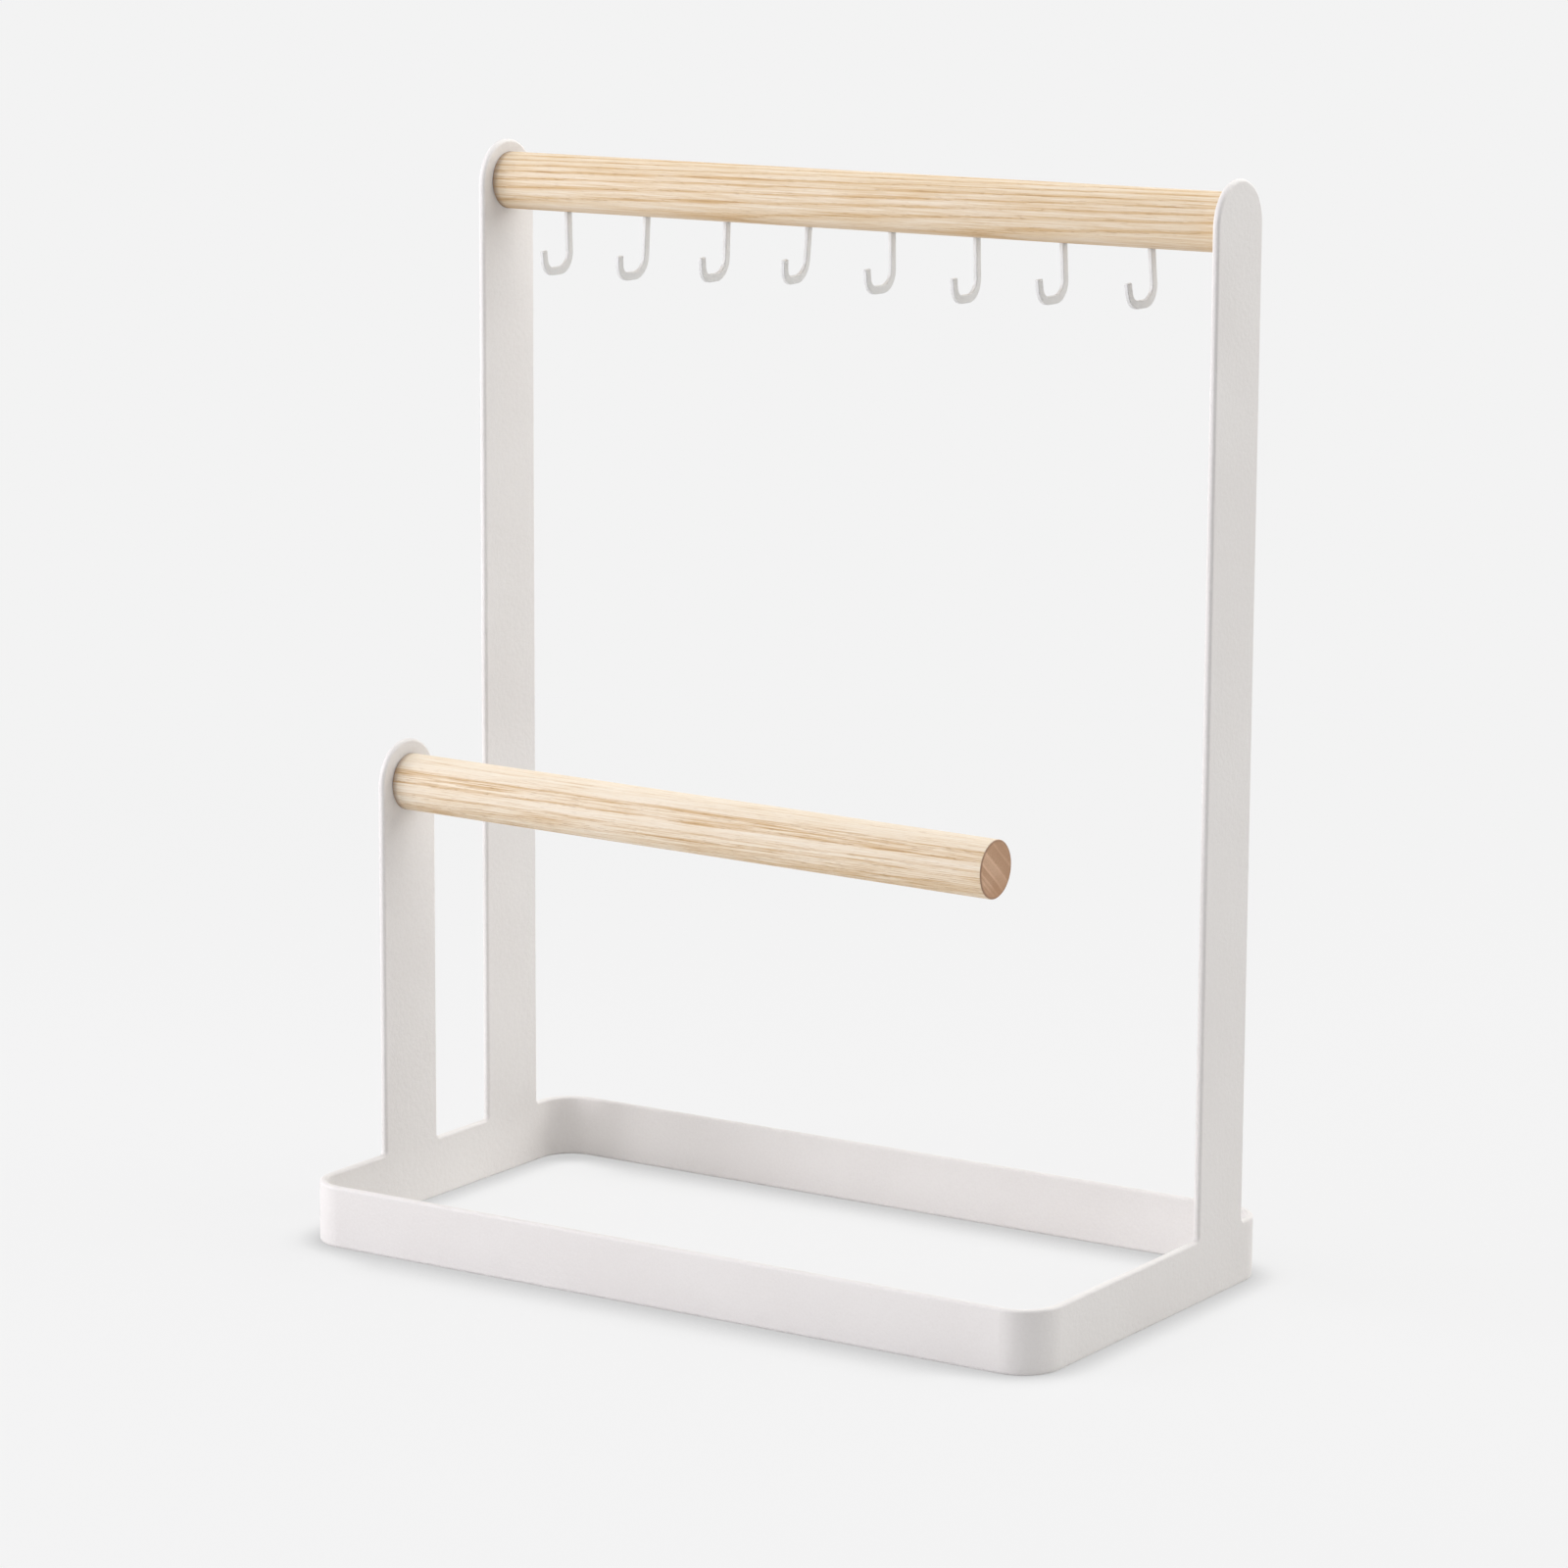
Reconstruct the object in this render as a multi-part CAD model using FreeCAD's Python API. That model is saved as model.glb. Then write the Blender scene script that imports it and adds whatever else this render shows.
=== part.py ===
import FreeCAD
import Part
import math
import os

from FreeCAD import Placement, Rotation, Vector

# A necklace and bracelet stand: a white sheet-steel frame carries two round wooden bars, and the
# upper bar carries a row of eight small hooks. Nothing on it moves.
#
# Millimetres. The origin is the middle of the footprint, on the table: +X runs along the bars to
# the right, +Y to the back, where the tall uprights stand, and +Z up.

# Driving dimensions: the frame
STAND_WIDTH = 237.0
STAND_DEPTH = 124.0
STAND_HEIGHT = 300.5
SHEET = 2.1
BAND_HEIGHT = 17.5
CORNER_RADIUS = 11.5
UPRIGHT_WIDTH = 24.3
TALL_UPRIGHT_Y = 35.0
SHORT_UPRIGHT_Y = -14.1
SHORT_UPRIGHT_HEIGHT = 135.5
ROOT_RADIUS = 1.2
EDGE_RADIUS = 0.9

# Driving dimensions: the bars
BAR_DIAMETER = 16.0
UPPER_BAR_Z = 289.0
LOWER_BAR_Z = 123.4
LOWER_BAR_LENGTH = 192.3
LOWER_BAR_DROOP_DEG = 0.85
BAR_END_GAP = 0.1
SAWN_EDGE = 0.3

# Driving dimensions: what holds the bars
PIN_DIAMETER = 4.0
PIN_FLANGE_DIAMETER = 6.0
PIN_FLANGE_THICKNESS = 0.8
UPPER_PIN_LENGTH = 10.0
LOWER_STUD_LENGTH = 16.0
INSERT_DIAMETER = 7.0
INSERT_LENGTH = 13.0
FIT_GAP = 0.05

# Driving dimensions: the hooks
HOOK_PITCH = 26.85
FIRST_HOOK_INSET = 20.4
HOOK_STRIP = 2.3
HOOK_THICKNESS = 1.2
HOOK_DROP = 17.2
HOOK_TIP_HEIGHT = 7.1
HOOK_REACH = 12.2
HOOK_BACK_BEND = 5.2
HOOK_FRONT_BEND = 3.6
HOOK_TIP_FLARE_DEG = 5.0
HOOK_TANG = 8.0
HOOK_EDGE_RADIUS = 0.25

# How each hook sits in its hole, from left to right: how far it is pushed in beyond the first,
# in millimetres, its sideways lean and its turn about its own stem, in degrees.
HOOK_SEATS = (
    (0.0, 2.0, 0.0),
    (0.0, -2.5, -1.0),
    (1.1, -1.5, 1.5),
    (2.1, -4.0, 4.0),
    (1.0, 1.0, -1.5),
    (0.1, 1.5, 0.5),
    (1.4, 3.0, -3.0),
    (1.9, 4.5, -3.0),
)

# Derived sizes
INNER_X = STAND_WIDTH / 2 - SHEET
BAR_RADIUS = BAR_DIAMETER / 2
BAR_UNDERSIDE_Z = UPPER_BAR_Z - BAR_RADIUS
PIN_RADIUS = PIN_DIAMETER / 2
FLANGE_RADIUS = PIN_FLANGE_DIAMETER / 2
HALF_STRIP = HOOK_STRIP / 2
SOCKET_RADIUS = math.hypot(HOOK_STRIP, HOOK_THICKNESS) / 2 + FIT_GAP

ALONG_X = Vector(1, 0, 0)
ALONG_Y = Vector(0, 1, 0)
ALONG_Z = Vector(0, 0, 1)
LEFT = -1
RIGHT = 1


def rounded_block(width, depth, height, radius):
    """A block centred on the origin's axis, its four upright edges rounded."""
    block = Part.makeBox(width, depth, height, Vector(-width / 2, -depth / 2, 0))
    upright_edges = [edge for edge in block.Edges if abs(edge.tangentAt(edge.FirstParameter).z) > 0.99]
    return block.makeFillet(radius, upright_edges)


def base_band():
    """The whole ring: a strip on edge, bent round four corners."""
    outer = rounded_block(STAND_WIDTH, STAND_DEPTH, BAND_HEIGHT, CORNER_RADIUS)
    inner = rounded_block(STAND_WIDTH - 2 * SHEET, STAND_DEPTH - 2 * SHEET, BAND_HEIGHT, CORNER_RADIUS - SHEET)
    return outer.cut(inner)


def upright(side, centre_y, height):
    """A round-topped strip that stands up from the band, in the plane of its end."""
    x = side * STAND_WIDTH / 2
    half = UPRIGHT_WIDTH / 2
    foot = BAND_HEIGHT / 2
    shoulder = height - half
    front_foot = Vector(x, centre_y - half, foot)
    front_shoulder = Vector(x, centre_y - half, shoulder)
    crown = Vector(x, centre_y, height)
    back_shoulder = Vector(x, centre_y + half, shoulder)
    back_foot = Vector(x, centre_y + half, foot)
    outline = Part.Wire([
        Part.makeLine(front_foot, front_shoulder),
        Part.Arc(front_shoulder, crown, back_shoulder).toShape(),
        Part.makeLine(back_shoulder, back_foot),
        Part.makeLine(back_foot, front_foot),
    ])
    return Part.Face(outline).extrude(Vector(-side * SHEET, 0, 0))


def root_edges(shape):
    """The short edges across the sheet where an upright meets the band's top."""
    found = []
    for edge in shape.Edges:
        box = edge.BoundBox
        across_sheet = abs(box.XLength - SHEET) < 1e-3 and box.YLength < 1e-3 and box.ZLength < 1e-3
        if across_sheet and abs(box.ZMin - BAND_HEIGHT) < 1e-3:
            found.append(edge)
    return found


def coated_edges(shape):
    """Every edge of the sheet that the coating rounds: all but the welded end faces' edges."""
    return [edge for edge in shape.Edges if edge.BoundBox.XLength > 1e-3 or abs(edge.BoundBox.XMin) > 1e-3]


def frame_half(side, uprights):
    """Half the frame: one blank, bent at two corners, with its uprights.

    Its two arms are butt-welded to the other half's arms at the middle of the front and the back.
    """
    reach = Part.makeBox(STAND_WIDTH, STAND_DEPTH + 2, BAND_HEIGHT, Vector(0, -STAND_DEPTH / 2 - 1, 0))
    if side == LEFT:
        reach.translate(Vector(-STAND_WIDTH, 0, 0))
    half = base_band().common(reach)
    for centre_y, height in uprights:
        half = half.fuse(upright(side, centre_y, height))
    half = half.removeSplitter()
    half = half.makeFillet(ROOT_RADIUS, root_edges(half))
    return half.makeFillet(EDGE_RADIUS, coated_edges(half))


def cylinder(radius, length, start, direction=ALONG_X):
    return Part.makeCylinder(radius, length, start, direction)


def pin_hole(end_x, inward, y, z, radius, depth):
    """The hole in a bar's end: a wide mouth for the pin's flange, then the hole itself."""
    direction = ALONG_X * inward
    start = Vector(end_x, y, z)
    mouth = cylinder(FLANGE_RADIUS + 0.2, PIN_FLANGE_THICKNESS + FIT_GAP, start, direction)
    return mouth.fuse(cylinder(radius + FIT_GAP, depth, start, direction))


def weld_pin(side, y, z, length):
    """A flanged pin, welded by its flange to an upright's inner face."""
    start = Vector(side * INNER_X, y, z)
    inward = ALONG_X * -side
    flange = cylinder(FLANGE_RADIUS, PIN_FLANGE_THICKNESS, start, inward)
    return flange.fuse(cylinder(PIN_RADIUS, length, start, inward)).removeSplitter()


def hook_place(index):
    """Where hook number index sits: its own frame has the bar's underside at z = 0."""
    sink, lean, turn = HOOK_SEATS[index]
    x = -INNER_X + FIRST_HOOK_INSET + index * HOOK_PITCH
    leaned = Placement(Vector(x, TALL_UPRIGHT_Y, BAR_UNDERSIDE_Z), Rotation(ALONG_Y, -lean))
    return leaned.multiply(Placement(Vector(0, 0, sink), Rotation(ALONG_Z, turn)))


def hook_point(forward, z):
    """A point in the hook's plane: forward is towards the front of the stand."""
    return Vector(-HOOK_THICKNESS / 2, -forward, z)


def hook_run(start, end):
    """A straight stretch of the hook's strip, between two (forward, z) points of its middle line."""
    along_f = end[0] - start[0]
    along_z = end[1] - start[1]
    length = math.hypot(along_f, along_z)
    side_f = -along_z / length * HALF_STRIP
    side_z = along_f / length * HALF_STRIP
    corners = [
        hook_point(start[0] + side_f, start[1] + side_z),
        hook_point(end[0] + side_f, end[1] + side_z),
        hook_point(end[0] - side_f, end[1] - side_z),
        hook_point(start[0] - side_f, start[1] - side_z),
    ]
    face = Part.Face(Part.makePolygon(corners + corners[:1]))
    return face.extrude(Vector(HOOK_THICKNESS, 0, 0))


def hook_bend(centre, radius, start_deg, end_deg):
    """A bend of the hook's strip. Angles run from straight forward, towards up."""
    def on_arc(distance, degrees):
        angle = math.radians(degrees)
        return hook_point(centre[0] + distance * math.cos(angle), centre[1] + distance * math.sin(angle))

    middle_deg = (start_deg + end_deg) / 2
    outer = [on_arc(radius + HALF_STRIP, degrees) for degrees in (start_deg, middle_deg, end_deg)]
    inner = [on_arc(radius - HALF_STRIP, degrees) for degrees in (start_deg, middle_deg, end_deg)]
    outline = Part.Wire([
        Part.Arc(*outer).toShape(),
        Part.makeLine(outer[2], inner[2]),
        Part.Arc(*reversed(inner)).toShape(),
        Part.makeLine(inner[0], outer[0]),
    ])
    return Part.Face(outline).extrude(Vector(HOOK_THICKNESS, 0, 0))


def hook(index):
    """A J punched from sheet: a tang in the bar, a stem, a bowl and a tip that leans forward."""
    bowl_z = -HOOK_DROP + HALF_STRIP
    back_centre = (HOOK_BACK_BEND, bowl_z + HOOK_BACK_BEND)
    front_centre = (HOOK_REACH - HOOK_FRONT_BEND, bowl_z + HOOK_FRONT_BEND)
    flare = math.radians(HOOK_TIP_FLARE_DEG)
    tip_start = (
        front_centre[0] + HOOK_FRONT_BEND * math.cos(flare),
        front_centre[1] - HOOK_FRONT_BEND * math.sin(flare),
    )
    tip_length = (-HOOK_DROP + HOOK_TIP_HEIGHT - tip_start[1]) / math.cos(flare)
    tip_end = (tip_start[0] + tip_length * math.sin(flare), tip_start[1] + tip_length * math.cos(flare))
    pieces = [
        hook_run((0, HOOK_TANG), (0, back_centre[1])),
        hook_bend(back_centre, HOOK_BACK_BEND, 180, 270),
        hook_run((back_centre[0], bowl_z), (front_centre[0], bowl_z)),
        hook_bend(front_centre, HOOK_FRONT_BEND, 270, 360 - HOOK_TIP_FLARE_DEG),
        hook_run(tip_start, tip_end),
    ]
    blank = pieces[0].multiFuse(pieces[1:]).removeSplitter()
    shape = blank.makeFillet(HOOK_EDGE_RADIUS, blank.Edges)
    shape.Placement = hook_place(index)
    return shape


def hook_socket(index):
    """The drilled hole that a hook's tang is pressed into."""
    socket = cylinder(SOCKET_RADIUS, HOOK_TANG + BAR_RADIUS, Vector(0, 0, -BAR_RADIUS + FIT_GAP), ALONG_Z)
    socket.Placement = hook_place(index)
    return socket


def upper_bar():
    """The long dowel between the tall uprights, drilled for its two pins and the eight hooks."""
    length = 2 * (INNER_X - BAR_END_GAP)
    bar = cylinder(BAR_RADIUS, length, Vector(-length / 2, TALL_UPRIGHT_Y, UPPER_BAR_Z))
    for side in (LEFT, RIGHT):
        end_x = side * INNER_X
        bar = bar.cut(pin_hole(end_x, -side, TALL_UPRIGHT_Y, UPPER_BAR_Z, PIN_RADIUS, UPPER_PIN_LENGTH + 0.5))
    for index in range(len(HOOK_SEATS)):
        bar = bar.cut(hook_socket(index))
    return bar


def drooped(shape):
    """Tilts a piece of the lower arm about its root, then trims it flush with the upright."""
    tilted = shape.copy()
    tilted.rotate(Vector(-INNER_X, SHORT_UPRIGHT_Y, LOWER_BAR_Z), ALONG_Y, LOWER_BAR_DROOP_DEG)
    beyond = Part.makeBox(10, STAND_DEPTH, STAND_HEIGHT, Vector(-INNER_X - 10, -STAND_DEPTH / 2, 0))
    return tilted.cut(beyond)


def lower_bar():
    """The dowel that juts out from the short upright, its free end sawn square."""
    start = Vector(-INNER_X - 1, SHORT_UPRIGHT_Y, LOWER_BAR_Z)
    bar = cylinder(BAR_RADIUS, LOWER_BAR_LENGTH + 1, start)
    free_end = [edge for edge in bar.Edges if edge.BoundBox.XMin > 0]
    bar = bar.makeChamfer(SAWN_EDGE, free_end)
    depth = PIN_FLANGE_THICKNESS + INSERT_LENGTH + 2
    bar = bar.cut(pin_hole(-INNER_X, 1, SHORT_UPRIGHT_Y, LOWER_BAR_Z, INSERT_DIAMETER / 2, depth))
    root = cylinder(BAR_RADIUS + 1, 1 + BAR_END_GAP, start)
    return drooped(bar.cut(root))


def lower_bar_stud():
    """The flanged stud that the lower bar screws onto."""
    return drooped(weld_pin(LEFT, SHORT_UPRIGHT_Y, LOWER_BAR_Z, LOWER_STUD_LENGTH))


def lower_bar_insert():
    """The threaded sleeve in the lower bar's end, behind the stud's flange."""
    start = Vector(-INNER_X + PIN_FLANGE_THICKNESS + 2 * FIT_GAP, SHORT_UPRIGHT_Y, LOWER_BAR_Z)
    sleeve = cylinder(INSERT_DIAMETER / 2, INSERT_LENGTH, start)
    return drooped(sleeve.cut(cylinder(PIN_RADIUS + FIT_GAP, INSERT_LENGTH, start)))


def build():
    tall = (TALL_UPRIGHT_Y, STAND_HEIGHT)
    short = (SHORT_UPRIGHT_Y, SHORT_UPRIGHT_HEIGHT)
    nodes = {
        "left_frame_half": frame_half(LEFT, [tall, short]),
        "right_frame_half": frame_half(RIGHT, [tall]),
        "upper_bar": upper_bar(),
        "upper_bar_pin_left": weld_pin(LEFT, TALL_UPRIGHT_Y, UPPER_BAR_Z, UPPER_PIN_LENGTH),
        "upper_bar_pin_right": weld_pin(RIGHT, TALL_UPRIGHT_Y, UPPER_BAR_Z, UPPER_PIN_LENGTH),
        "lower_bar": lower_bar(),
        "lower_bar_stud": lower_bar_stud(),
        "lower_bar_insert": lower_bar_insert(),
    }
    for index in range(len(HOOK_SEATS)):
        nodes[f"hook_{index + 1}"] = hook(index)
    return nodes


os.makedirs("parts", exist_ok=True)
for name, shape in build().items():
    shape.exportStep(f"parts/{name}.step")
    box = shape.BoundBox
    print(f"{name:22s} valid {shape.isValid()} solids {len(shape.Solids)} volume {shape.Volume:9.2f} "
          f"x {box.XMin:.2f}..{box.XMax:.2f} y {box.YMin:.2f}..{box.YMax:.2f} z {box.ZMin:.2f}..{box.ZMax:.2f}")
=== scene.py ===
import math

import bmesh
import bpy
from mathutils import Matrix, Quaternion, Vector


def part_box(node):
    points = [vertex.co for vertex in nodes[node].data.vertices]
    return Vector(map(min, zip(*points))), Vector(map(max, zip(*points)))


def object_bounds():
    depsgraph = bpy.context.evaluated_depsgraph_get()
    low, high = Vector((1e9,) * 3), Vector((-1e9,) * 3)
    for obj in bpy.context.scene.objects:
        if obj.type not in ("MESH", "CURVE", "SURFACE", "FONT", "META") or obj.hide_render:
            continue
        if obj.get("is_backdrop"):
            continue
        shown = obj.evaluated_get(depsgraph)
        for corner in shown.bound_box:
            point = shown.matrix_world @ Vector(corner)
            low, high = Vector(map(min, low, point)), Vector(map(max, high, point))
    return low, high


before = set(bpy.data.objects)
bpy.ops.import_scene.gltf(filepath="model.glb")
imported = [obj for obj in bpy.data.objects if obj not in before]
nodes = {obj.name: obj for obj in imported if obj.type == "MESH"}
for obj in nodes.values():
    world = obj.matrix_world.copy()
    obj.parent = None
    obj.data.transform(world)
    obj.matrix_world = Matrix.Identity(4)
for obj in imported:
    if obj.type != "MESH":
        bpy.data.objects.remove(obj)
cad_low, cad_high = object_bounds()


# ---- The sheet-steel frame -------------------------------------------------------------------
# Two blanks of sheet steel, each bent at two corners and butt-welded to the other in the middle
# of the front and the back. The welds are ground flush before the whole frame is powder coated
# in matt white, so no seam shows, and the coating leaves a very fine grain like an eggshell's.

class Wire:
    """A socket of a node tree. Arithmetic on it adds Math nodes."""

    def __init__(self, finish, socket):
        self.finish = finish
        self.socket = socket

    def __add__(self, other):
        return self.finish.math("ADD", self, other)

    __radd__ = __add__

    def __sub__(self, other):
        return self.finish.math("SUBTRACT", self, other)

    def __rsub__(self, other):
        return self.finish.math("SUBTRACT", other, self)

    def __mul__(self, other):
        return self.finish.math("MULTIPLY", self, other)

    __rmul__ = __mul__

    def __truediv__(self, other):
        return self.finish.math("DIVIDE", self, other)

    def __rtruediv__(self, other):
        return self.finish.math("DIVIDE", other, self)

    def __neg__(self):
        return self.finish.math("MULTIPLY", self, -1.0)

    def __abs__(self):
        return self.finish.math("ABSOLUTE", self)


class Finish:
    """The nodes of a new material or world. node() adds one of any type and returns an output."""

    def __init__(self, owner):
        self.owner = owner
        owner.use_nodes = True
        self.tree = owner.node_tree
        self.tree.nodes.clear()

    def node(self, kind, settings=None, sockets=None, output=0):
        made = self.tree.nodes.new("ShaderNode" + kind)
        for setting, value in (settings or {}).items():
            if setting == "stops":
                self.set_stops(made.color_ramp, value)
            else:
                setattr(made, setting, value)
        for name, value in (sockets or {}).items():
            socket = self.find(made.inputs, name)
            if isinstance(value, Wire):
                self.tree.links.new(value.socket, socket)
            else:
                socket.default_value = value
        return None if output is None else Wire(self, self.find(made.outputs, output))

    def find(self, sockets, name):
        """A socket by its number, identifier or name."""
        if isinstance(name, int):
            return sockets[name]
        return next(s for s in sockets if name in (s.identifier, s.name))

    def set_stops(self, ramp, stops):
        while len(ramp.elements) < len(stops):
            ramp.elements.new(1.0)
        for element, (place, value) in zip(ramp.elements, stops):
            element.position = place
            element.color = value if isinstance(value, tuple) else (value, value, value, 1.0)

    def math(self, operation, *values):
        return self.node("Math", {"operation": operation}, dict(enumerate(values)))

    def vector_math(self, operation, *values, output="Vector"):
        return self.node("VectorMath", {"operation": operation}, dict(enumerate(values)), output)

    def place(self):
        """The point on the object, in metres."""
        return self.node("TexCoord", None, None, "Object")

    def part(self, vector, axis):
        """A vector's X, Y or Z."""
        return self.node("SeparateXYZ", None, {0: vector}, axis)

    def blend(self, factor, low, high):
        """A colour between two, as factor goes from 0 to 1."""
        ends = {"Factor_Float": factor, "A_Color": low, "B_Color": high}
        return self.node("Mix", {"data_type": "RGBA"}, ends, "Result_Color")

    def noise(self, where, scale, detail=2.0, roughness=0.5):
        """Noise from 0 to 1 with that many features to a unit of length."""
        sockets = {"Vector": where, "Scale": scale, "Detail": detail, "Roughness": roughness}
        return self.node("TexNoise", None, sockets)

    def steps(self, value, low, high):
        """0 where value is below low, 1 where it is above high, and a smooth rise between."""
        sockets = {"Value": value, "From Min": low, "From Max": high}
        return self.node("MapRange", {"interpolation_type": "SMOOTHSTEP"}, sockets)

    def bump(self, height, depth, under=None):
        """A surface normal that follows height, whose full swing is depth in metres."""
        sockets = {"Height": height, "Distance": depth}
        if under is not None:
            sockets["Normal"] = under
        return self.node("Bump", None, sockets)

    def surface(self, **sockets):
        """Ends the material with a Principled surface; socket names have _ for each space."""
        named = {name.replace("_", " "): value for name, value in sockets.items()}
        self.end_with(self.node("BsdfPrincipled", None, named))
        return self.owner

    def end_with(self, shader, kind="OutputMaterial"):
        self.node(kind, None, {"Surface": shader}, None)


COATING_WHITE = (0.785, 0.760, 0.735, 1.0)
COATING_PALE = (0.815, 0.795, 0.770, 1.0)
FRAME_ROUGHNESS = 0.52
ROUGHNESS_SPREAD = 0.16
COATING_IOR = 1.5
GRAINS_PER_METRE = 1500.0
RIPPLES_PER_METRE = 650.0
CLOUDS_PER_METRE = 22.0
GRAIN_SHARE = 0.45
TONE_RANGE = (0.36, 0.64)
GRAIN_DEPTH = 0.000045
RIPPLE_DEPTH = 0.00008


def powder_coating(name, roughness, darker, paler):
    """Matt powder coating between two tones: a fine grain on a faint orange peel."""
    coat = Finish(bpy.data.materials.new(name))
    where = coat.place()
    grain = coat.noise(where, GRAINS_PER_METRE, roughness=0.55)
    ripple = coat.noise(where, RIPPLES_PER_METRE, detail=1.0)
    clouds = coat.noise(where, CLOUDS_PER_METRE)
    tone = coat.steps(grain * GRAIN_SHARE + clouds * (1.0 - GRAIN_SHARE), *TONE_RANGE)
    peel = coat.bump(ripple, RIPPLE_DEPTH)
    return coat.surface(
        Base_Color=coat.blend(tone, darker, paler),
        Roughness=(grain - 0.5) * ROUGHNESS_SPREAD + roughness,
        Normal=coat.bump(grain, GRAIN_DEPTH, peel),
        IOR=COATING_IOR,
    )


def dress(name, material):
    """Gives a CAD node its finish."""
    slots = nodes[name].data.materials
    slots.clear()
    slots.append(material)


frame_coating = powder_coating("frame_coating", FRAME_ROUGHNESS, COATING_WHITE, COATING_PALE)
for half in ("left_frame_half", "right_frame_half"):
    dress(half, frame_coating)


# ---- The pins and the stud ------------------------------------------------------------------
# Short turned steel pins with a small flange, welded to the inner faces of the uprights before
# coating. The ends of the bars hide them.

STEEL = (0.56, 0.56, 0.57, 1.0)
DULL_STEEL = (0.40, 0.40, 0.41, 1.0)
STEEL_ROUGHNESS = 0.3
LATHE_SQUEEZE = (12.0, 1.0, 1.0)
LATHE_RINGS_PER_METRE = 900.0
LATHE_RING_DEPTH = 0.00001
LATHE_RING_ROUGHNESS = 0.18
DULL_PATCHES_PER_METRE = 250.0
DULL_RANGE = (0.35, 0.7)


def turned_metal(name, bright, dull, roughness):
    """Bare metal off a lathe: rings round the axis, which runs along X, and dull patches."""
    metal = Finish(bpy.data.materials.new(name))
    where = metal.place()
    squeezed = metal.node("Mapping", None, {"Vector": where, "Scale": LATHE_SQUEEZE})
    rings = metal.noise(squeezed, LATHE_RINGS_PER_METRE)
    patches = metal.noise(where, DULL_PATCHES_PER_METRE, detail=3.0)
    return metal.surface(
        Base_Color=metal.blend(metal.steps(patches, *DULL_RANGE), bright, dull),
        Roughness=rings * LATHE_RING_ROUGHNESS + roughness,
        Normal=metal.bump(rings, LATHE_RING_DEPTH),
        Metallic=1.0,
    )


plain_steel = turned_metal("plain_steel", STEEL, DULL_STEEL, STEEL_ROUGHNESS)
for pin in ("upper_bar_pin_left", "upper_bar_pin_right", "lower_bar_stud"):
    dress(pin, plain_steel)


# ---- The upper bar --------------------------------------------------------------------------
# A length of 16 mm ash dowel, sanded and left bare. It was cut so that the growth rings meet
# its front and top nearly square, which draws fine even lines along the bar; underneath they
# lie level with the surface, which leaves a plainer, browner strip there. That browner strip
# is partly the wood and partly painted shade under the bar.

MM = 0.001
WOOD_PALE = (0.815, 0.710, 0.565, 1.0)
WOOD_CREAM = (0.740, 0.590, 0.400, 1.0)
WOOD_TAN = (0.620, 0.415, 0.205, 1.0)
WOOD_BROWN = (0.430, 0.255, 0.115, 1.0)
TONE_STOPS = (0.10, 0.42, 0.78, 1.0)
MIDDLE_TONE = 0.27
RING_WEIGHT = 0.42
WOOD_IOR = 1.45
WOOD_ROUGHNESS = 0.52
FIBRE_ROUGHNESS = 0.22
WOOD_RELIEF = 0.00007
WAVE_CELL = (75.0, 16.0)
FIBRE_CELL = (18.0, 0.30)
FIBRE_WEIGHT = 1.45
FIBRE_RELIEF = 0.7
STREAK_CELL = (60.0, 1.0)
STREAK_WEIGHT = 0.50
PATCH_CELL = (55.0, 5.0)
PATCH_WEIGHT = 0.4
PORE_CELL = (3.2, 0.24)
PORE_RANGE = (0.57, 0.70)
PORE_BROWN = 0.12
PORE_BROWN_IN_RINGS = 0.5
RING_RELIEF = 0.2
# Painted shade where a bar's end meets an upright: its colour, reach in mm and share.
JOINT_SHADE_BROWN = (0.260, 0.170, 0.115, 1.0)
JOINT_SHADE_REACH = 2.2
JOINT_SHADE_SHARE = 0.75


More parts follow.
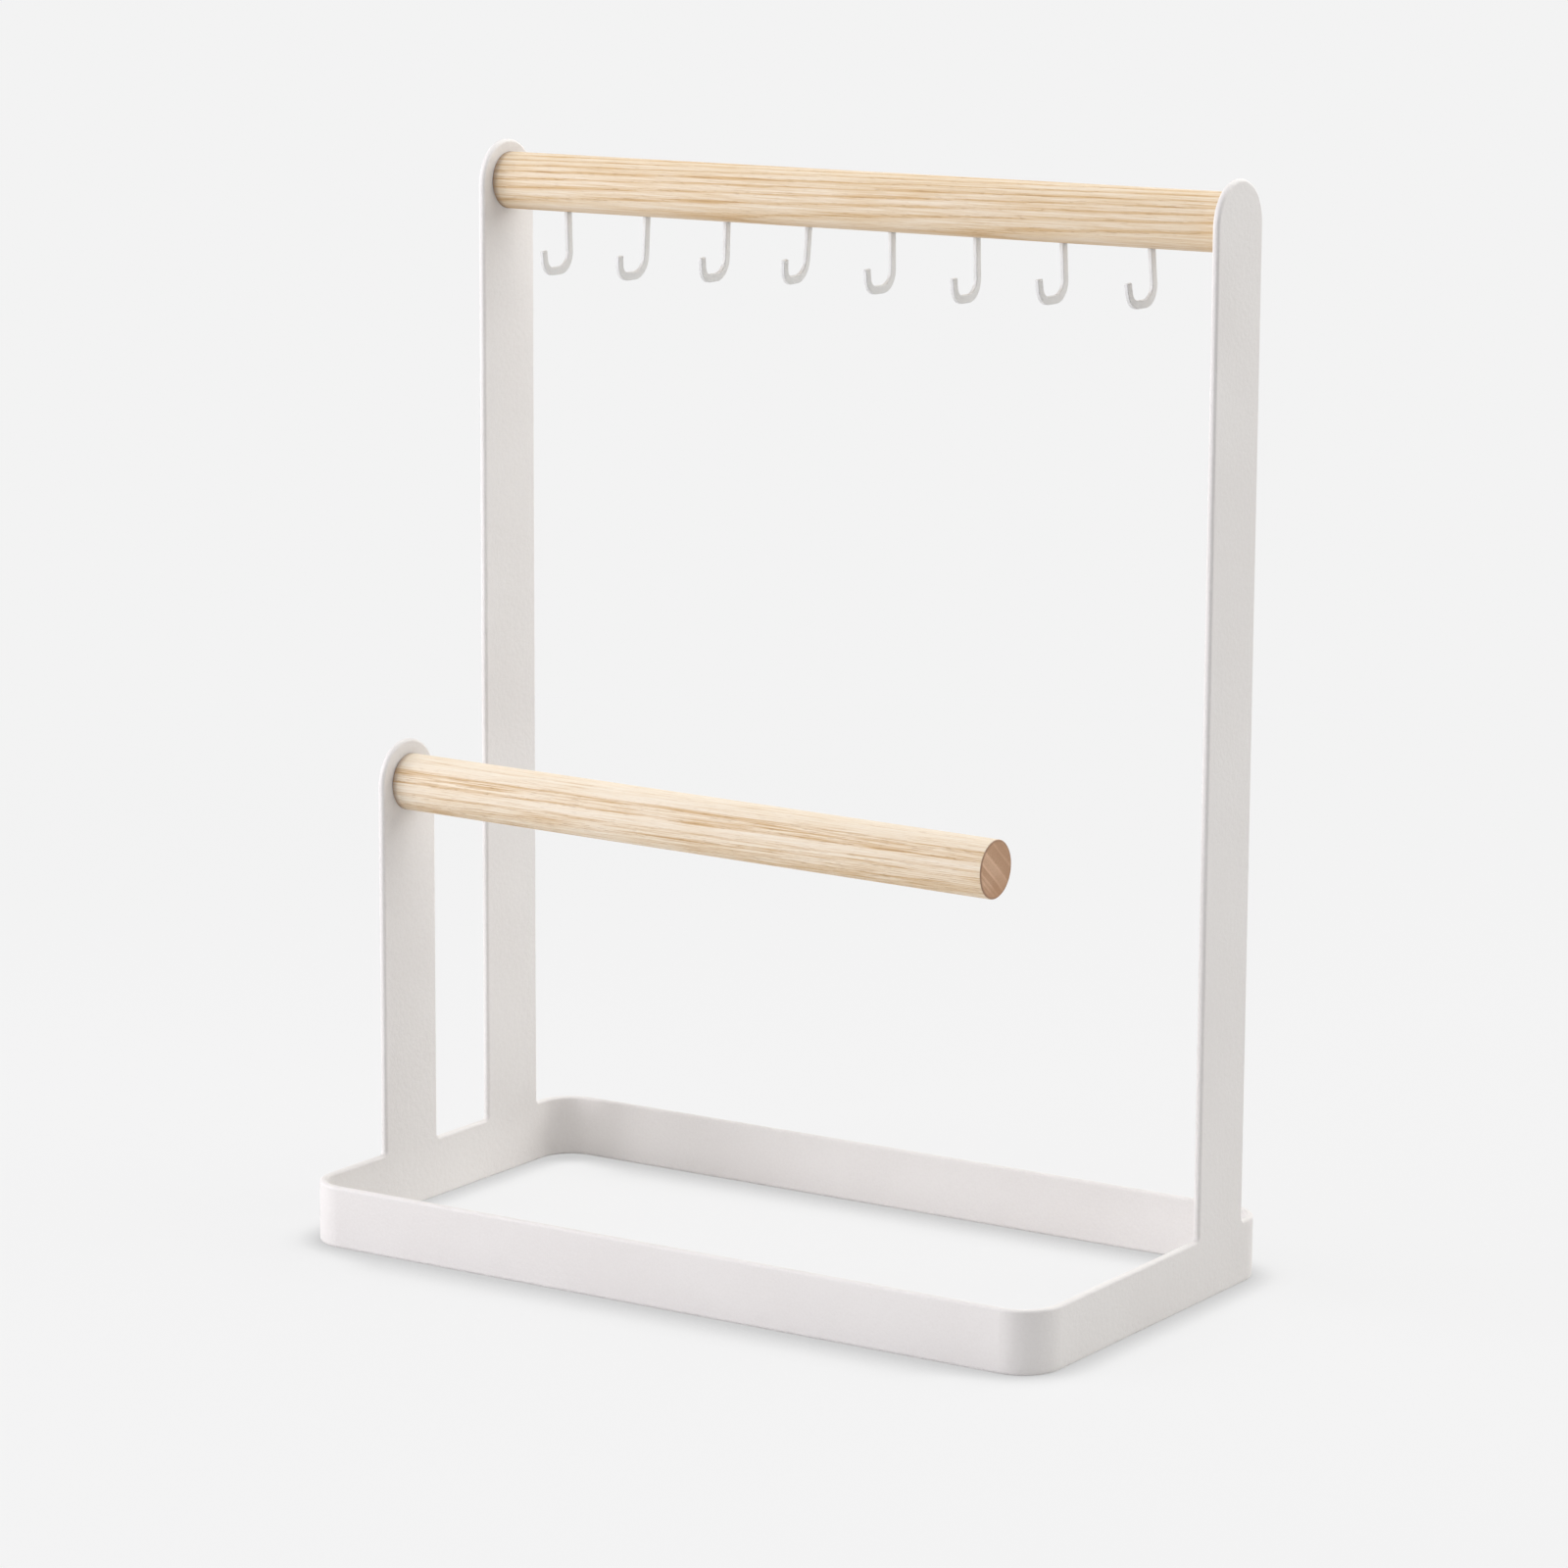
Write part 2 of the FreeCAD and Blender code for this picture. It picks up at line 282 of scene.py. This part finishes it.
class AshWood(Finish):
    """Bare ash with its grain along X, in the round, so that the rings also show on a sawn end.

    The rings lie square to a line tilted by tilt degrees from +Z towards +Y, drift across the
    bar by that many mm to a mm of its length, and waver by up to waves mm. rings turns the depth
    across them, in mm, into how dark the wood is there. colours go from the palest to the brown.
    """

    def __init__(self, name, bar, tilt, drift, waves, rings, colours):
        super().__init__(bpy.data.materials.new(name))
        low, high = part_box(bar)
        self.half_length = (high.x - low.x) / 2
        self.spot = self.vector_math("SUBTRACT", self.place(), (low + high) / 2)
        self.brown = colours[-1]
        lean = math.radians(tilt)
        slant = (drift / MM, math.sin(lean) / MM, math.cos(lean) / MM)
        depth = self.vector_math("DOT_PRODUCT", self.spot, slant, output="Value")
        wavering = self.grain(WAVE_CELL, roughness=0.4) - 0.5
        self.dark = rings(self, depth + wavering * (2.0 * waves))
        self.fibres = self.grain(FIBRE_CELL, detail=3.0, roughness=0.6)
        streaks = self.grain(STREAK_CELL)
        patches = self.grain(PATCH_CELL)
        lines = (self.fibres - 0.5) * FIBRE_WEIGHT + (streaks - 0.5) * STREAK_WEIGHT
        tone = MIDDLE_TONE + self.dark * RING_WEIGHT + lines + (patches - 0.5) * PATCH_WEIGHT
        stops = tuple(zip(TONE_STOPS, colours))
        plain = self.node("ValToRGB", {"stops": stops}, {"Fac": tone}, "Color")
        pores = self.steps(self.grain(PORE_CELL, detail=1.0), *PORE_RANGE)
        pitted = pores * (PORE_BROWN + self.dark * PORE_BROWN_IN_RINGS)
        self.shade = self.blend(pitted, plain, self.brown)
        self.roughness = WOOD_ROUGHNESS + self.fibres * FIBRE_ROUGHNESS
        self.relief = self.fibres * FIBRE_RELIEF - pitted - self.dark * RING_RELIEF

    def grain(self, cell, detail=2.0, roughness=0.5):
        """Noise from 0 to 1 in cells drawn out along the bar; cell is (length, width) in mm."""
        length, width = cell
        size = (1.0 / (length * MM), 1.0 / (width * MM), 1.0 / (width * MM))
        drawn_out = self.node("Mapping", None, {"Vector": self.spot, "Scale": size})
        return self.noise(drawn_out, 1.0, detail, roughness)

    def lay_colour(self, mask, colour):
        """Lays a colour over the wood where mask is 1."""
        self.shade = self.blend(mask, self.shade, colour)

    def shaded_end(self, side):
        """Painted shade where an end butts against an upright; side is -1 at the left and 1 at the right."""
        along = self.part(self.spot, "X") * side
        joint_shade = self.steps(along, self.half_length - JOINT_SHADE_REACH * MM, self.half_length)
        self.lay_colour(joint_shade * JOINT_SHADE_SHARE, JOINT_SHADE_BROWN)

    def bare(self):
        """Ends the material with the bare, sanded surface."""
        return self.surface(
            Base_Color=self.shade,
            Roughness=self.roughness,
            Normal=self.bump(self.relief, WOOD_RELIEF),
            IOR=WOOD_IOR,
        )


UPPER_COLOURS = (WOOD_PALE, WOOD_CREAM, WOOD_TAN, WOOD_BROWN)
UPPER_RING_TILT = 35.0
UPPER_RING_DRIFT = -0.024
UPPER_RING_WAVES = 0.5
UPPER_RING_PITCH = 1.95
UPPER_RING_SHIFT = 10.6
UPPER_RING_PROFILE = ((0.0, 1.0), (0.10, 0.80), (0.30, 0.22), (0.70, 0.0), (0.90, 0.35), (1.0, 1.0))
# The browner strip along the bottom of the bar: partly the wood there, partly painted shade under the bar.
UNDERSIDE_START = 5.2
UNDERSIDE_STOP = 7.4
UNDERSIDE_BROWN_AND_SHADE = 0.27


def even_rings(wood, depth):
    """Narrow rings of one width: a thin dark line of early wood, fading to pale late wood."""
    turn = wood.math("FRACT", depth / UPPER_RING_PITCH + UPPER_RING_SHIFT)
    return wood.node("ValToRGB", {"stops": UPPER_RING_PROFILE}, {"Fac": turn})


upper_wood = AshWood(
    "upper_bar_wood", "upper_bar", UPPER_RING_TILT, UPPER_RING_DRIFT, UPPER_RING_WAVES, even_rings,
    UPPER_COLOURS)
# Browner underneath: partly the wood there, partly painted shade under the bar.
below = -upper_wood.part(upper_wood.spot, "Z")
underside = upper_wood.steps(below, UNDERSIDE_START * MM, UNDERSIDE_STOP * MM)
upper_wood.lay_colour(underside * UNDERSIDE_BROWN_AND_SHADE, WOOD_BROWN)
# Painted shade at both ends, where the bar meets the uprights.
upper_wood.shaded_end(-1)
upper_wood.shaded_end(1)
dress("upper_bar", upper_wood.bare())


# ---- The hooks ------------------------------------------------------------------------------
# Eight flat J hooks punched from thin sheet and coated in a slightly greyer white, each pressed
# by its shank into a hole drilled in the underside of the upper bar. They lean and turn a
# little, as pressed-in hooks do.

HOOK_WHITE = (0.718, 0.718, 0.701, 1.0)
HOOK_PALE = (0.746, 0.751, 0.735, 1.0)
HOOK_ROUGHNESS = 0.45

hook_coating = powder_coating("hook_coating", HOOK_ROUGHNESS, HOOK_WHITE, HOOK_PALE)
for number in range(1, 9):
    dress(f"hook_{number}", hook_coating)


# ---- The lower bar --------------------------------------------------------------------------
# A second piece of the same dowel, with a brass threaded insert in its left end that screws
# onto the short upright's stud. Its right end is free and sawn square, and the open end grain
# looks much browner than the sides, and darker still towards the bottom of the end.

BRASS = (0.78, 0.58, 0.27, 1.0)
DULL_BRASS = (0.55, 0.40, 0.19, 1.0)
BRASS_ROUGHNESS = 0.25

dress("lower_bar_insert", turned_metal("insert_brass", BRASS, DULL_BRASS, BRASS_ROUGHNESS))

LOWER_PALE = (0.880, 0.793, 0.658, 1.0)
LOWER_CREAM = (0.830, 0.708, 0.540, 1.0)
LOWER_COLOURS = (LOWER_PALE, LOWER_CREAM, WOOD_TAN, WOOD_BROWN)
LOWER_BAR_RADIUS = 8.0
LOWER_BAR_DROOP = math.radians(0.85)
LOWER_RING_TILT = 40.5
LOWER_RING_DRIFT = 0.0
LOWER_RING_WAVES = 0.7
LOWER_RINGS = (
    (-8.0, 0.7), (-7.4, 0.3), (-7.0, 0.9), (-6.3, 0.2), (-5.5, 0.75), (-5.2, 0.15), (-3.7, 0.05),
    (-3.4, 1.0), (-2.7, 0.45), (-0.7, 0.55), (-0.35, 0.9), (0.3, 0.15), (3.0, 0.0), (3.4, 0.35),
    (4.2, 0.0), (8.0, 0.1),
)
END_DARK = (0.47, 0.275, 0.160, 1.0)
END_PALE = (0.72, 0.480, 0.320, 1.0)
END_RANGE = (0.25, 1.0)
END_RING_WEIGHT = 0.6
END_FIBRE_WEIGHT = 0.8
END_SKIN = (0.35, 0.20)
END_ROUGHNESS = 0.15
# The end turns darker and browner towards its bottom: colour, share, range in mm below the axis, blotch size
# and waver in mm.
END_LOWER_BROWN = (0.46, 0.250, 0.135, 1.0)
END_LOWER_SHARE = 0.7
END_LOWER_RANGE = (-1.0, 8.0)
END_LOWER_BLOTCH = 5.0
END_LOWER_WAVER = 12.0
END_RIM = (0.27, 0.155, 0.105, 1.0)
RIM_SHARE = 0.6
RIM_RANGE = (0.8, 0.2)


def uneven_rings(wood, depth):
    """Wide rings of different widths, each (depth in mm, darkness) where the tone turns."""
    span = 2 * LOWER_BAR_RADIUS
    stops = tuple((0.5 + place / span, darkness) for place, darkness in LOWER_RINGS)
    return wood.node("ValToRGB", {"stops": stops}, {"Fac": 0.5 + depth / span})


def saw_right_end(wood, droop, length, radius):
    """Colours the right end of a bar of that length and radius, in mm, that droops by an angle."""
    level = {"Vector": wood.spot, "Rotation": (0.0, -droop, 0.0)}
    levelled = wood.node("Mapping", None, level)
    tone = wood.steps(wood.dark * END_RING_WEIGHT + wood.fibres * END_FIBRE_WEIGHT, *END_RANGE)
    end = wood.blend(tone, END_DARK, END_PALE)
    # Darker and browner towards the bottom of the end, in blotches.
    blotches = wood.noise(levelled, 1.0 / (END_LOWER_BLOTCH * MM))
    below_axis = -wood.part(levelled, "Z") / MM + (blotches - 0.5) * END_LOWER_WAVER
    end = wood.blend(wood.steps(below_axis, *END_LOWER_RANGE) * END_LOWER_SHARE, end, END_LOWER_BROWN)
    section = wood.vector_math("MULTIPLY", levelled, (0.0, 1.0, 1.0))
    from_axis = wood.vector_math("LENGTH", section, output="Value")
    rim_start, rim_stop = RIM_RANGE
    rim = wood.steps(from_axis, (radius - rim_start) * MM, (radius - rim_stop) * MM)
    end = wood.blend(rim * RIM_SHARE, end, END_RIM)
    skin_start, skin_stop = END_SKIN
    forward = wood.part(levelled, "X")
    on_end = wood.steps(forward, (length / 2 - skin_start) * MM, (length / 2 - skin_stop) * MM)
    wood.lay_colour(on_end, end)
    wood.roughness = wood.roughness + on_end * END_ROUGHNESS


lower_wood = AshWood(
    "lower_bar_wood", "lower_bar", LOWER_RING_TILT, LOWER_RING_DRIFT, LOWER_RING_WAVES, uneven_rings,
    LOWER_COLOURS)
# Painted shade at the left end, where the bar meets the short upright.
lower_wood.shaded_end(-1)
low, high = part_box("lower_bar")
lower_bar_length = (high.x - low.x) / MM - LOWER_BAR_RADIUS * math.sin(LOWER_BAR_DROOP)
saw_right_end(lower_wood, LOWER_BAR_DROOP, lower_bar_length, LOWER_BAR_RADIUS)
dress("lower_bar", lower_wood.bare())


# ---- The floor ------------------------------------------------------------------------------
# A plain pale table that runs out of sight. Seen directly it is evenly pale, with the object's
# soft shadow on it and a closer, darker one where the frame touches it.

FLOOR_SIZE = 60.0
FLOOR_COLOUR = (0.85, 0.85, 0.85, 1.0)
BACKDROP = (0.896, 0.896, 0.896, 1.0)
DEEPEST_SHADE = (0.60, 0.60, 0.60, 1.0)
SHADE_RANGE = (0.50, 0.96)
SHADE_SAMPLES = 8
LONG_SIDE_REACH = 0.022
SHORT_SIDE_REACH = 0.013
CORNER_START = 0.034
CORNER_STOP = 0.010
LIT_SHARE = 0.12
LIT_RADIUS = 0.25
EVEN_RADIUS = 0.9


def seen_directly(finish):
    """1 for what the camera, a gloss or clear stuff looks at, 0 for light that bounces."""
    camera, gloss, clear = (
        finish.node("LightPath", None, None, f"Is {ray} Ray") for ray in ("Camera", "Glossy", "Transmission"))
    return finish.math("MAXIMUM", finish.math("MAXIMUM", camera, gloss), clear)


def open_sky(finish, reach):
    """How open the sky is over a point, from 0 to 1, among things within that reach."""
    settings = {"samples": SHADE_SAMPLES}
    return finish.node("AmbientOcclusion", settings, {"Distance": reach}, "AO")


floor_mesh = bmesh.new()
bmesh.ops.create_grid(floor_mesh, x_segments=1, y_segments=1, size=FLOOR_SIZE / 2)
floor_data = bpy.data.meshes.new("floor")
floor_mesh.to_mesh(floor_data)
floor_mesh.free()
floor = bpy.data.objects.new("floor", floor_data)
bpy.context.scene.collection.objects.link(floor)

paper = Finish(bpy.data.materials.new("paper"))
from_middle = abs(paper.part(paper.place(), "X"))
at_end = paper.steps(from_middle, cad_high.x - CORNER_START, cad_high.x - CORNER_STOP)
by_long_side = open_sky(paper, LONG_SIDE_REACH) * (1.0 - at_end)
by_short_side = open_sky(paper, SHORT_SIDE_REACH) * at_end
lightness = paper.steps(by_long_side + by_short_side, *SHADE_RANGE)
even = paper.node("Emission", None, {"Color": paper.blend(lightness, DEEPEST_SHADE, BACKDROP)})
lit = paper.node("BsdfDiffuse", None, {"Color": FLOOR_COLOUR})
distance = paper.vector_math("LENGTH", paper.place(), output="Value")
evenness = (1.0 - LIT_SHARE) + paper.steps(distance, LIT_RADIUS, EVEN_RADIUS) * LIT_SHARE
paper.end_with(paper.node("MixShader", None, {0: seen_directly(paper) * evenness, 1: lit, 2: even}))
floor_data.materials.append(paper.owner)
floor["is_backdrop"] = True


# ---- The light ------------------------------------------------------------------------------
# Soft boxes at the left, in front, high at the back right and overhead, in a pale room. None is
# in sight from any side.

SLIGHTLY_COOL = (0.968, 0.955, 1.0)
SLIGHTLY_WARM = (1.0, 0.99, 0.985)
WHITE = (1.0, 1.0, 1.0, 1.0)
ROOM_LIGHT = 0.02
MIDDLE = Vector((0.0, 0.0, 0.150))


def direction(azimuth, elevation):
    """Towards that side, in degrees; azimuth is 0 in front and 90 at the right."""
    turn = math.radians(azimuth)
    lift = math.radians(elevation)
    return Vector((math.sin(turn) * math.cos(lift), -math.cos(turn) * math.cos(lift), math.sin(lift)))


def soft_box(name, azimuth, elevation, distance, size, power, colour):
    """A square lamp that faces the object's middle."""
    lamp = bpy.data.lights.new(name, "AREA")
    lamp.energy = power
    lamp.color = colour
    lamp.size = size
    holder = bpy.data.objects.new(name, lamp)
    towards = direction(azimuth, elevation)
    holder.location = MIDDLE + distance * towards
    holder.rotation_mode = "QUATERNION"
    holder.rotation_quaternion = towards.to_track_quat("Z", "Y")
    holder.visible_camera = False
    bpy.context.scene.collection.objects.link(holder)


soft_box("left_light", azimuth=-56, elevation=20, distance=1.4, size=1.2, power=18.2, colour=SLIGHTLY_COOL)
soft_box("front_light", azimuth=0, elevation=35, distance=1.6, size=1.0, power=7.1, colour=SLIGHTLY_COOL)
soft_box("back_light", azimuth=145, elevation=45, distance=1.6, size=2.2, power=38.2, colour=SLIGHTLY_WARM)
soft_box("top_light", azimuth=45, elevation=86, distance=0.6, size=0.2, power=0.33, colour=SLIGHTLY_WARM)

room = Finish(bpy.data.worlds.new("room"))
strength = ROOM_LIGHT + seen_directly(room) * (BACKDROP[0] - ROOM_LIGHT)
room.end_with(room.node("Background", None, {"Color": WHITE, "Strength": strength}), "OutputWorld")
bpy.context.scene.world = room.owner


# ---- The camera -----------------------------------------------------------------------------
# A long lens from the right of the front, looking a little down.

CAMERA_AZIMUTH = 32.99
CAMERA_ELEVATION = 10.22
CAMERA_DISTANCE = 1.5
CAMERA_AIM = Vector((0.0018, -0.0026, 0.1336))
CAMERA_ROLL = math.radians(0.288)
LENS = 126.9
SENSOR = 36.0
FARTHEST = 100.0

camera = bpy.data.objects.new("camera", bpy.data.cameras.new("camera"))
camera.location = MIDDLE + CAMERA_DISTANCE * direction(CAMERA_AZIMUTH, CAMERA_ELEVATION)
camera.rotation_mode = "QUATERNION"
upright = (CAMERA_AIM - camera.location).to_track_quat("-Z", "Y")
camera.rotation_quaternion = upright @ Quaternion((0.0, 0.0, 1.0), CAMERA_ROLL)
camera.data.lens = LENS
camera.data.sensor_width = SENSOR
camera.data.clip_end = FARTHEST
bpy.context.scene.collection.objects.link(camera)
bpy.context.scene.camera = camera
bpy.context.scene.view_settings.view_transform = "Standard"

low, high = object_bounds()
